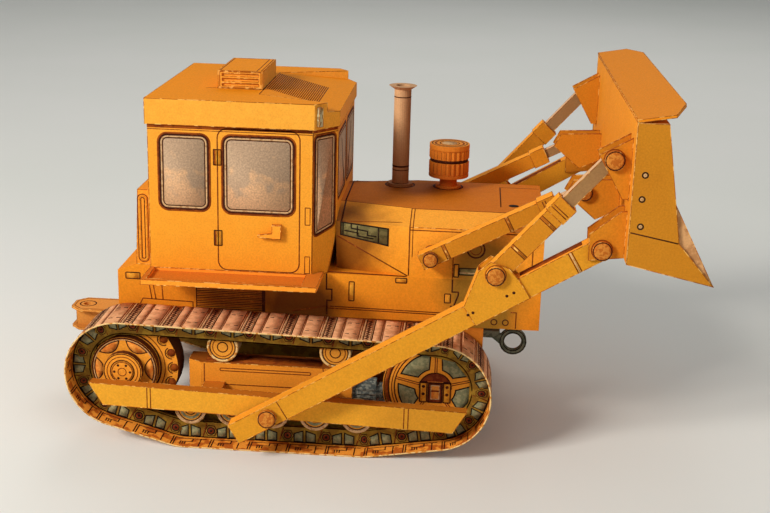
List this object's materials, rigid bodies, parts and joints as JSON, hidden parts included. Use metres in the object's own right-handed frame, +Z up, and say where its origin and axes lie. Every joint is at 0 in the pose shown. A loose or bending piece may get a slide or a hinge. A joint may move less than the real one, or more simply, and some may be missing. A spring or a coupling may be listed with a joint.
{
  "type": "card model of a crawler dozer",
  "caption": "Small card model of a crawler dozer: closed cab, tracks and a wide blade on two push arms that lifts and tips by square cylinders.",
  "frame": {"origin": "under the middle of the model's outline, on the floor the tracks stand on", "axes": "+X forward to the blade, +Y to the machine's left, +Z up"},
  "size_m": [0.188, 0.1192, 0.1065],
  "materials": {
    "yellow_card": "printed matt card",
    "shoe_card": "printed matt card",
    "link_card": "printed matt card",
    "grey_card": "printed matt card",
    "pipe_card": "printed matt card",
    "drum_card": "printed matt card",
    "edge_card": "printed matt card",
    "roller_card": "printed matt card",
    "lamp_card": "printed matt card",
    "wheel_card": "printed matt card"
  },
  "bodies": {
    "root": {"adjuster_left": "grey_card", "adjuster_right": "grey_card", "cab": "yellow_card", "cab_roof": "yellow_card", "chassis": "yellow_card", "door_handles": "yellow_card", "drawbar": "yellow_card", "exhaust": "pipe_card", "hood": "yellow_card", "hull": "yellow_card", "idler_left": "wheel_card", "idler_right": "wheel_card", "lift_pins": "yellow_card", "link_rings_left": "link_card", "link_rings_right": "link_card", "outer_beam_left": "yellow_card", "outer_beam_right": "yellow_card", "precleaner": "drum_card", "rear_tank": "yellow_card", "rollers_left": "roller_card", "rollers_right": "roller_card", "roof_lamps": "lamp_card", "roof_vent": "yellow_card", "sprocket_left": "wheel_card", "sprocket_right": "wheel_card", "step_tray_left": "yellow_card", "step_tray_right": "yellow_card", "tow_hook": "grey_card", "track_band_left": "shoe_card", "track_band_right": "shoe_card", "track_frame_left": "yellow_card", "track_frame_right": "yellow_card"},
    "arms": {"push_arm_left": "yellow_card", "push_arm_right": "yellow_card"},
    "blade": {"arm_brackets": "yellow_card", "brace_brackets": "yellow_card", "cutting_edge": "edge_card", "end_plates": "yellow_card", "lift_brackets": "yellow_card", "mouldboard": "yellow_card", "spill_guard": "yellow_card"},
    "brace_barrel_left": {"brace_barrel_left": "yellow_card"},
    "brace_barrel_right": {"brace_barrel_right": "yellow_card"},
    "brace_rod_left": {"brace_rod_left": "grey_card"},
    "brace_rod_right": {"brace_rod_right": "grey_card"},
    "lift_barrel_left": {"lift_barrel_left": "yellow_card"},
    "lift_barrel_right": {"lift_barrel_right": "yellow_card"},
    "lift_rod_left": {"lift_rod_left": "grey_card"},
    "lift_rod_right": {"lift_rod_right": "grey_card"}
  },
  "joints": [
    {"name": "arm_lift", "type": "hinge", "parent": "root", "child": "arms", "pos_m": [-0.02321, 0, 0.0146], "axis": [0, -1, 0], "range_deg": [-28, 3]},
    {"name": "blade_pitch", "type": "hinge", "parent": "arms", "child": "blade", "pos_m": [0.06541, 0, 0.06806], "axis": [0, -1, 0], "range_deg": [-4, 6]},
    {"name": "lift_swing_right", "type": "hinge", "parent": "root", "child": "lift_barrel_right", "pos_m": [0.01999, -0.0312, 0.0572], "axis": [0, -1, 0], "range_deg": [-50.54, 5.86]},
    {"name": "lift_stroke_right", "type": "slide", "parent": "lift_barrel_right", "child": "lift_rod_right", "axis": [0.8884, 0, 0.4591], "range_m": [-0.00226, 0.02022]},
    {"name": "brace_swing_right", "type": "hinge", "parent": "arms", "child": "brace_barrel_right", "pos_m": [0.03804, -0.0504, 0.05961], "axis": [0, -1, 0], "range_deg": [-2.25, 3.13]},
    {"name": "brace_stroke_right", "type": "slide", "parent": "brace_barrel_right", "child": "brace_rod_right", "axis": [0.6599, 0, 0.7513], "range_m": [-0.00173, 0.00118]},
    {"name": "lift_swing_left", "type": "hinge", "parent": "root", "child": "lift_barrel_left", "pos_m": [0.01999, 0.0312, 0.0572], "axis": [0, -1, 0], "range_deg": [-50.54, 5.86]},
    {"name": "lift_stroke_left", "type": "slide", "parent": "lift_barrel_left", "child": "lift_rod_left", "axis": [0.8884, 0, 0.4591], "range_m": [-0.00226, 0.02022]},
    {"name": "brace_swing_left", "type": "hinge", "parent": "arms", "child": "brace_barrel_left", "pos_m": [0.03804, 0.0504, 0.05961], "axis": [0, -1, 0], "range_deg": [-2.25, 3.13]},
    {"name": "brace_stroke_left", "type": "slide", "parent": "brace_barrel_left", "child": "brace_rod_left", "axis": [0.6599, 0, 0.7513], "range_m": [-0.00173, 0.00118]}
  ],
  "couplings": [
    {"joint": "lift_swing_right", "follows": "arm_lift", "ratio": 1.7872},
    {"joint": "lift_stroke_right", "follows": "arm_lift", "m_per_rad": -0.04118},
    {"joint": "brace_swing_right", "follows": "blade_pitch", "ratio": 0.43771},
    {"joint": "brace_stroke_right", "follows": "blade_pitch", "m_per_rad": -0.01554},
    {"joint": "lift_swing_left", "follows": "arm_lift", "ratio": 1.7872},
    {"joint": "lift_stroke_left", "follows": "arm_lift", "m_per_rad": -0.04118},
    {"joint": "brace_swing_left", "follows": "blade_pitch", "ratio": 0.43771},
    {"joint": "brace_stroke_left", "follows": "blade_pitch", "m_per_rad": -0.01554}
  ]
}
